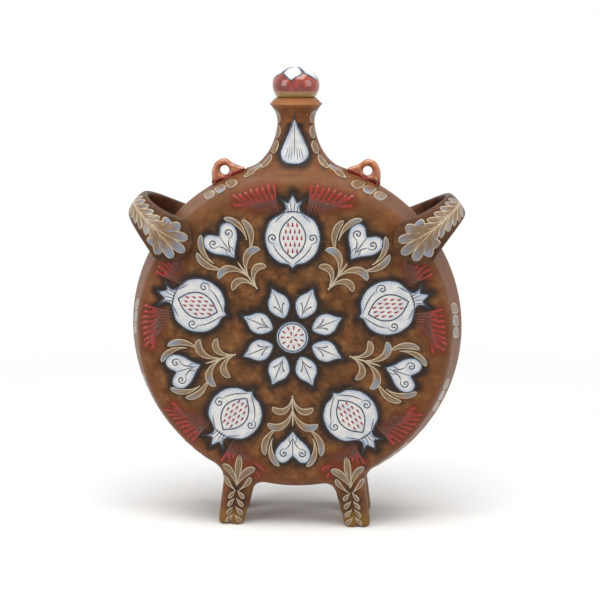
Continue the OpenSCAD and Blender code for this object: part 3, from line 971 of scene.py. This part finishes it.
# The seeds: drops of red glaze on the white, one small drop set at each place
def seed_tree(material):
    """Sets a drop at each point, turned and sized by the point's attributes."""
    tree = bpy.data.node_groups.new("drops_of_glaze", "GeometryNodeTree")
    tree.interface.new_socket("Geometry", in_out="INPUT", socket_type="NodeSocketGeometry")
    sides_socket = tree.interface.new_socket("Sides", in_out="INPUT", socket_type="NodeSocketInt")
    taper_socket = tree.interface.new_socket("Taper", in_out="INPUT", socket_type="NodeSocketFloat")
    tree.interface.new_socket("Geometry", in_out="OUTPUT", socket_type="NodeSocketGeometry")
    given = add(tree, "NodeGroupInput")
    ball = add(tree, "GeometryNodeMeshUVSphere", {
        "Segments": given.outputs["Sides"], "Rings": 5, "Radius": 0.5,
    })
    place = add(tree, "GeometryNodeInputPosition").outputs[0]
    parts = add(tree, "ShaderNodeSeparateXYZ", {0: place})
    narrowed = maths(tree, "MULTIPLY", maths(tree, "SUBTRACT", parts.outputs[0], 0.5), given.outputs["Taper"])
    thin = maths(tree, "ADD", narrowed, 1.0)
    drop_place = add(tree, "ShaderNodeCombineXYZ", {
        0: parts.outputs[0], 1: maths(tree, "MULTIPLY", parts.outputs[1], thin), 2: parts.outputs[2],
    })
    drop_mesh = add(tree, "GeometryNodeSetPosition", {
        "Geometry": ball.outputs["Mesh"], "Position": drop_place.outputs[0],
    })
    up, ahead, size = (
        add(tree, "GeometryNodeInputNamedAttribute", {"Name": name}, data_type="FLOAT_VECTOR").outputs[0]
        for name in ("up", "ahead", "size")
    )
    upright = add(tree, "FunctionNodeAlignRotationToVector", {"Vector": up}, axis="Z")
    turned_to = add(tree, "FunctionNodeAlignRotationToVector", {
        "Rotation": upright.outputs[0], "Vector": ahead,
    }, axis="X", pivot_axis="Z")
    set_down = add(tree, "GeometryNodeInstanceOnPoints", {
        "Points": given.outputs["Geometry"], "Instance": drop_mesh.outputs[0],
        "Rotation": turned_to.outputs[0], "Scale": size,
    })
    real = add(tree, "GeometryNodeRealizeInstances", {0: set_down.outputs[0]})
    smooth = add(tree, "GeometryNodeSetShadeSmooth", {"Geometry": real.outputs[0]})
    glazed = add(tree, "GeometryNodeSetMaterial", {"Geometry": smooth.outputs[0], "Material": material})
    add(tree, "NodeGroupOutput", {0: glazed.outputs[0]})
    return tree, {sides_socket.identifier: 10, taper_socket.identifier: 0.85}


def grown(name, carrier, tree, values):
    """The plain mesh that a Geometry Nodes tree makes on a carrier."""
    modifier = carrier.modifiers.new("nodes", "NODES")
    modifier.node_group = tree
    for identifier, value in values.items():
        modifier[identifier] = value
    evaluated = carrier.evaluated_get(bpy.context.evaluated_depsgraph_get())
    mesh = bpy.data.meshes.new_from_object(evaluated)
    made = bpy.data.objects.new(name, mesh)
    bpy.context.scene.collection.objects.link(made)
    bpy.data.objects.remove(carrier)
    return made


def set_drops(name, drops, material):
    carrier = new_piece(name + "_places", [place for place, *_ in drops], [])
    vectors = {"up": [row[1] for row in drops], "ahead": [row[2] for row in drops]}
    vectors["size"] = [np.multiply(row[3], MM) for row in drops]
    for mark, values in vectors.items():
        flat_values = np.array(values, np.float32).ravel()
        carrier.data.attributes.new(mark, "FLOAT_VECTOR", "POINT").data.foreach_set("vector", flat_values)
    made = grown(name, carrier, *seed_tree(material))
    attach(made, "vessel")


set_drops("red_seeds", seeds, seed_material)
set_drops("cobalt_dots", dots, line_material)

# The handles: each a broad strap pulled from clay, bent over the rim and
# pressed down as a round pad on either face, with leaf strokes from its vein
handle_angle, arch_r, arch_inset = math.radians(38.5), 40.0, 11.0
strap_w, strap_t, pad_r, squareness = 23.0, 8.0, 20.5, 0.75
arch_q = body_r - arch_inset
quarter = arch_r * math.pi / 2
strap_out = 0.58 * strap_t - 0.4
strap_in = 0.42 * strap_t
root_in = arch_r - (corner_y + corner_r * math.sin(band_tilt))


def strap_section(u):
    """Middle, facing angle, width and two thicknesses, u along the strap."""
    side, along = np.sign(u), np.abs(u)
    bent = along <= quarter
    a = np.minimum(along, quarter) / arch_r
    b = np.arcsin(np.clip((along - quarter) / pad_r, 0, 1))
    share = a / (math.pi / 2)
    q = np.where(bent, arch_q + arch_r * np.cos(a), arch_q - pad_r * np.sin(b))
    y = side * arch_r * np.sin(a)
    width = np.where(bent, strap_w + (2 * pad_r - strap_w) * share**2.5, 2 * pad_r * np.cos(b))
    out = strap_out * np.where(bent, 1, 0.4 + 0.6 * np.cos(b))
    under = strap_in + (root_in - strap_in) * share**4
    return q, y, side * a, width, out, under


def handle_place(q, y, across, mirror):
    x = q * math.cos(handle_angle) - across * math.sin(handle_angle)
    z = q * math.sin(handle_angle) + across * math.cos(handle_angle)
    return np.stack([mirror * x, y, body_z + z], -1)


def on_strap(flat, mirror=1):
    """A plan on the strap's outer side: along it, and across."""
    q, y, a, width, out, _ = strap_section(flat[:, 0])
    sine = np.clip(np.abs(flat[:, 1]) / np.maximum(width / 2, 1e-6), 0, 0.985) ** (1 / squareness)
    lift = np.sqrt(1 - sine**2) ** squareness * out
    return handle_place(q + lift * np.cos(a), y + lift * np.sin(a), flat[:, 1], mirror)


def strap_mesh(mirror, around=56):
    on_pad = pad_r * np.sin(np.linspace(0, 1, 16)[1:] * 1.5)
    u = np.concatenate([np.linspace(0, quarter, 44), quarter + on_pad])
    u = np.concatenate([-u[:0:-1], u])
    q, y, a, width, out, under = (part[:, None] for part in strap_section(u))
    t = np.linspace(0, 2 * math.pi, around, endpoint=False)
    across = np.sign(np.sin(t)) * np.abs(np.sin(t)) ** squareness * width / 2
    bulge = np.sign(np.cos(t)) * np.abs(np.cos(t)) ** squareness
    lift = bulge * np.where(bulge > 0, out, under)
    rings = handle_place(q + lift * np.cos(a), y + lift * np.sin(a), across, mirror)
    corner = np.arange(len(u) * around).reshape(len(u), around)
    quads = np.stack([corner[:-1], corner[1:], np.roll(corner[1:], -1, 1), np.roll(corner[:-1], -1, 1)], -1)
    faces = [tuple(face) for face in quads.reshape(-1, 4)] + [tuple(corner[0]), tuple(corner[-1][::-1])]
    if mirror < 0:
        faces = [face[::-1] for face in faces]
    return rings.reshape(-1, 3), faces


for mirror, handle_name in ((1, "right"), (-1, "left")):
    strap_points, strap_faces = strap_mesh(mirror)
    marks = {"halo": np.full(len(strap_points), 4.0), "rust": np.zeros(len(strap_points))}
    strap = new_piece(handle_name + "_strap_handle", strap_points, strap_faces, stoneware, marks)
    strap.data.set_sharp_from_angle(angle=math.radians(60))
    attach(strap, "vessel")
    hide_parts(handle_name + "_handle")

    def strap_plan(flat, mirror=mirror):
        return on_strap(np.asarray(flat) * (1, mirror), mirror)

    for end in (-1, 1):
        for across in (-1, 1):
            # Leaf strokes in a herringbone, from the vein out and down
            for start in np.arange(0.5, quarter - 16, 7.6):
                path = bend([(start, 0.4), (start + 8, 1.6), (start + 13, 4.5), (start + 17.5, 9.6)])
                paint_leaf(path * np.array((end, across)), 2.7, strap_plan, chance.uniform(0, 0.8), 0.65, 0.3)
        for angle, reach in ((-76, 17), (-50, 24), (-25, 29), (0, 31), (25, 29), (50, 24), (76, 17)):
            a = math.radians(angle)
            root_u = quarter - 14
            path = bend([
                (root_u + 1.5 * math.cos(a), 1.5 * math.sin(a)), (root_u + 8, 5 * math.sin(a)),
                (root_u + 0.7 * reach * math.cos(a) + 2, 0.7 * reach * math.sin(a)),
                (root_u + reach * math.cos(a) + 1, 0.82 * reach * math.sin(a)),
            ])
            paint_leaf(path * np.array((end, 1)), 4.0, strap_plan, chance.uniform(0.3, 1), 0.75, 0.16)

leaves.piece("tan_leaves", leaf_material, "vessel", "leaf_handle")


# The lugs: small ears of clay with a cord hole, under an amber glaze that has
# worn pale along their edges
def amber_glaze():
    material, tree, shader = new_material("amber_lug_glaze")
    blotch = object_noise(tree, 4, 4, 0.6)
    base = add(tree, "ShaderNodeValToRGB", {0: blotch}, stops=[
        (0.3, "#74341a"), (0.5, "#9c5428"), (0.7, "#b97c42"),
    ]).outputs[0]
    place = add(tree, "ShaderNodeTexCoord").outputs["Object"]
    centred = add(tree, "ShaderNodeMapping", {0: place, "Location": (0, 0, -body_z * MM), "Scale": (1, 0, 1)})
    radius = add(tree, "ShaderNodeVectorMath", {0: centred.outputs[0]}, operation="LENGTH").outputs["Value"]
    seam = ease(tree, radius, (body_r + 1.8) * MM, (body_r + 0.8) * MM)
    tree.links.new(mixed(tree, seam, base, "#8a2018"), shader.inputs["Base Color"])
    shader.inputs["Roughness"].default_value = 0.22
    shader.inputs["Coat Weight"].default_value = 0.5
    return material


amber = amber_glaze()
lug_x, lug_hole_rise, lug_hole_r, lug_t, lug_r, lug_corner = 60.5, 6.0, 3.9, 10.0, 10.8, 2.5
lug_bevel = 3.2
for mirror, lug_name in ((1, "right"), (-1, "left")):
    hole_z = top_z(lug_x, 0) + lug_hole_rise
    tail_x, outer_x = skirt_x + 1.2 + lug_corner, lug_x + lug_r - lug_corner
    nodes = [
        (tail_x - 1.5, top_z(tail_x, 0) - 2, True), (outer_x + 2.4, top_z(outer_x, 0) - 2.5, True),
        (lug_x + lug_r, hole_z - 1), (lug_x + 7.2, hole_z + 7), (lug_x - 0.5, hole_z + lug_r - 1),
        (lug_x - 7.5, hole_z + 5.6), (tail_x - 2.2, top_z(tail_x, 0) + 2.2, True),
    ]
    shape = bpy.data.curves.new("lug_outline", "CURVE")
    shape.dimensions, shape.fill_mode = "2D", "BOTH"
    shape.extrude, shape.bevel_depth = (lug_t / 2 - lug_bevel) * MM, lug_bevel * MM
    shape.offset, shape.bevel_resolution = -lug_bevel * MM, 5
    ear = outline(nodes, 1.0)
    rim_line = circle(lug_hole_r, 32)[::-1] + (lug_x, hole_z)
    for loop in (ear, rim_line):
        spline = shape.splines.new("POLY")
        spline.points.add(len(loop) - 1)
        for point, place in zip(spline.points, loop):
            point.co = (mirror * place[0] * MM, place[1] * MM, 0, 1)
        spline.use_cyclic_u = True
    flat_lug = bpy.data.objects.new("lug_shape", shape)
    bpy.context.scene.collection.objects.link(flat_lug)
    mesh = bpy.data.meshes.new_from_object(flat_lug.evaluated_get(bpy.context.evaluated_depsgraph_get()))
    bpy.data.objects.remove(flat_lug)
    mesh.transform(Matrix.Rotation(math.pi / 2, 4, "X"))
    mesh.shade_smooth()
    mesh.set_sharp_from_angle(angle=math.radians(40))
    mesh.materials.clear()
    mesh.materials.append(amber)
    ear_piece = bpy.data.objects.new(lug_name + "_cord_lug", mesh)
    bpy.context.scene.collection.objects.link(ear_piece)
    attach(ear_piece, "vessel")
    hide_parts(lug_name + "_lug")

# The stopper: a thrown knob in red glaze with five white petals over its
# crown and an ochre foot, luted to a plug of bare clay that fits the bore
knob_low, knob_high = (np.array(corner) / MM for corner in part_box("stopper_knob"))
plug_low, plug_high = (np.array(corner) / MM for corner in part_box("stopper_plug"))
knob_r, knob_z, knob_top_z = knob_high[0], knob_low[2], knob_high[2]
knob_base_r, knob_waist, petal_lift = 16.6, 10.0, 0.25
waist_z = knob_z + knob_waist
dome_top = knob_top_z - petal_lift - waist_z
under_height = knob_waist / math.sqrt(1 - (knob_base_r / knob_r) ** 2)
base_turn = math.asin(knob_waist / under_height)


def knob_profile(a):
    """Radius and height, a in radians down from the crown to the base."""
    a = np.asarray(a, float)
    upper = a < math.pi / 2
    below = np.maximum(a - math.pi / 2, 0)
    r = (knob_r - petal_lift) * np.where(upper, np.sin(a), np.cos(below))
    crown = dome_top * np.cos(np.minimum(a, math.pi / 2))
    z = waist_z + np.where(upper, crown, -under_height * np.sin(below))
    return r, z


def on_knob(flat):
    """A plan laid on the knob from its crown down."""
    a, turn = np.hypot(flat[:, 0], flat[:, 1]) / knob_r, np.arctan2(flat[:, 1], flat[:, 0])
    r, z = knob_profile(a)
    return np.column_stack([r * np.cos(turn), r * np.sin(turn), z])


def lathe(name, line, material, around=96):
    """A closed turned piece from radius and height, listed from top to bottom."""
    line = np.array(line, float)
    t = np.linspace(0, 2 * math.pi, around, endpoint=False)
    rings = np.stack([
        line[:, 0, None] * np.cos(t), line[:, 0, None] * np.sin(t), np.repeat(line[:, 1, None], around, 1),
    ], -1)
    corner = np.arange(len(line) * around).reshape(len(line), around)
    quads = np.stack([corner[:-1], corner[1:], np.roll(corner[1:], -1, 1), np.roll(corner[:-1], -1, 1)], -1)
    faces = [tuple(face) for face in quads.reshape(-1, 4)] + [tuple(corner[0]), tuple(corner[-1][::-1])]
    return new_piece(name, rings.reshape(-1, 3), faces, material)


def knob_glaze():
    material, tree, shader = new_material("red_knob_glaze")
    blotch, streak = object_noise(tree, 6, 4, 0.6), object_noise(tree, 2.2, 3, 0.6, (1, 1, 0.3))
    place = add(tree, "ShaderNodeTexCoord").outputs["Object"]
    height = add(tree, "ShaderNodeSeparateXYZ", {0: place}).outputs[2]
    red = mixed(tree, ease(tree, blotch, 0.32, 0.68), "#651609", "#99301a")
    red = mixed(tree, ease(tree, streak, 0.6, 0.78, 0, 0.5), red, "#c4683a")
    foot_z = (knob_z + 4.6) * MM
    wavy = maths(tree, "ADD", height, maths(tree, "MULTIPLY", maths(tree, "SUBTRACT", blotch, 0.5), 0.002))
    banded = mixed(tree, ease(tree, wavy, foot_z + 0.0008, foot_z - 0.0008), red, "#8b6a34")
    tree.links.new(banded, shader.inputs["Base Color"])
    shader.inputs["Roughness"].default_value = 0.16
    shader.inputs["Coat Weight"].default_value = 0.6
    return material


under_turns = math.pi / 2 + np.linspace(0, base_turn, 16)[1:]
turns_down = np.concatenate([np.linspace(0.02, math.pi / 2, 26), under_turns])
knob_line = list(zip(*knob_profile(turns_down)))
knob_line += [(knob_base_r - 1.0, knob_z), (0.5, knob_z)]
knob = lathe("knob", knob_line, knob_glaze())
knob.data.set_sharp_from_angle(angle=math.radians(50))
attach(knob, "stopper")
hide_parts("stopper_knob")

knob_petal = mirrored([(0, 0.8, True), (6.5, 8.5), (9.6, 15.5), (6.2, 21.5), (0, 28, True)])
petals = Coat(["edge", "along"])
for i in range(5):
    sheet = filled(moved(knob_petal, 180 - 8 + 72 * i), 1.0)
    petals.lay(sheet, raised(sheet[2]["edge"], petal_lift), on_knob)
petals.piece("knob_petals", white_material, "stopper", "white_glaze")


def bare_clay():
    material, tree, shader = new_material("bare_stoneware")
    grain = object_noise(tree, 3, 5, 0.65)
    tree.links.new(mixed(tree, grain, "#a08665", "#c4ab87"), shader.inputs["Base Color"])
    shader.inputs["Roughness"].default_value = 0.85
    return material


plug_r, plug_taper = plug_high[0], 0.9
plug = lathe("plug", [
    (0.5, knob_z + 6), (plug_r, knob_z + 6), (plug_r, mouth_z), (plug_r - plug_taper, plug_low[2] + 1.2),
    (plug_r - plug_taper - 1.2, plug_low[2]), (0.5, plug_low[2]),
], bare_clay())
plug.data.set_sharp_from_angle(angle=math.radians(50))
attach(plug, "stopper")
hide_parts("stopper_plug")

# The stage: a white table under two large soft lamps and a soft top light,
# and a camera a little above the flask's middle
eye_distance, eye_height, eye_yaw, eye_pitch = 1100.0, 400.0, 4.0, 10.616
focal_px, frame_px, middle_px, sensor = 1299.16, 600, 296.0, 36
camera = bpy.data.objects.new("camera", bpy.data.cameras.new("camera"))
bpy.context.scene.collection.objects.link(camera)
camera.data.sensor_width = sensor
camera.data.lens = sensor * focal_px / frame_px
camera.data.shift_x = (frame_px / 2 - middle_px) / frame_px
yaw, pitch = math.radians(eye_yaw), math.radians(eye_pitch)
camera.location = (eye_distance * MM * math.sin(yaw), -eye_distance * MM * math.cos(yaw), eye_height * MM)
camera.rotation_euler = (math.pi / 2 - pitch, 0, yaw)
camera.data.clip_start, camera.data.clip_end = 0.05, 20
bpy.context.scene.camera = camera


def seen_rays(tree):
    """1 for rays that show the background itself or its reflection."""
    rays = add(tree, "ShaderNodeLightPath").outputs
    glossy = maths(tree, "MAXIMUM", rays["Is Glossy Ray"], rays["Is Transmission Ray"])
    return maths(tree, "MAXIMUM", rays["Is Camera Ray"], glossy)


def white_table():
    """White paper that keeps the shadow near the flask and burns out beyond it."""
    material, tree, shader = new_material("white_table_paper")
    shader.inputs["Base Color"].default_value = linear("#f2f1ef")
    shader.inputs["Roughness"].default_value = 0.9
    place = add(tree, "ShaderNodeTexCoord").outputs["Object"]
    reach = add(tree, "ShaderNodeVectorMath", {0: place}, operation="LENGTH").outputs["Value"]
    share = maths(tree, "MULTIPLY", seen_rays(tree), ease(tree, reach, 0.3, 0.8))
    glow = add(tree, "ShaderNodeEmission", {"Strength": 1.0})
    both = add(tree, "ShaderNodeMixShader", {0: share, 1: shader.outputs[0], 2: glow.outputs[0]})
    output = next(node for node in tree.nodes if node.type == "OUTPUT_MATERIAL")
    tree.links.new(both.outputs[0], output.inputs[0])
    return material


table_r = 4000
table = new_piece("table", np.column_stack([circle(table_r, 64), np.zeros(64)]), [range(64)], white_table())


def lamp(name, place, aim, size, power):
    data = bpy.data.lights.new(name, "AREA")
    data.shape, data.size, data.size_y, data.energy = "RECTANGLE", size[0], size[1], power
    made = bpy.data.objects.new(name, data)
    made.location = place
    made.rotation_euler = (Vector(aim) - Vector(place)).to_track_quat("-Z", "Y").to_euler()
    bpy.context.scene.collection.objects.link(made)


lamp("top_softbox", (0.0, -0.25, 1.35), (0, 0, 0.2), (1.3, 0.9), 18)
lamp("left_softbox", (-1.2, -0.8, 0.75), (0, 0, 0.2), (0.7, 1.1), 8)
lamp("right_softbox", (1.3, -0.5, 0.7), (0, 0, 0.2), (0.7, 1.1), 6)
world = bpy.data.worlds.new("studio")
bpy.context.scene.world = world
world.use_nodes = True
world_tree = world.node_tree
world_tree.nodes.clear()
room = add(world_tree, "ShaderNodeBackground", {0: linear("#ffffff"), 1: 0.42})
beyond = add(world_tree, "ShaderNodeBackground", {0: linear("#ffffff"), 1: 1.0})
either = add(world_tree, "ShaderNodeMixShader", {
    0: seen_rays(world_tree), 1: room.outputs[0], 2: beyond.outputs[0],
})
add(world_tree, "ShaderNodeOutputWorld", {0: either.outputs[0]})
bpy.context.scene.view_settings.view_transform = "Standard"
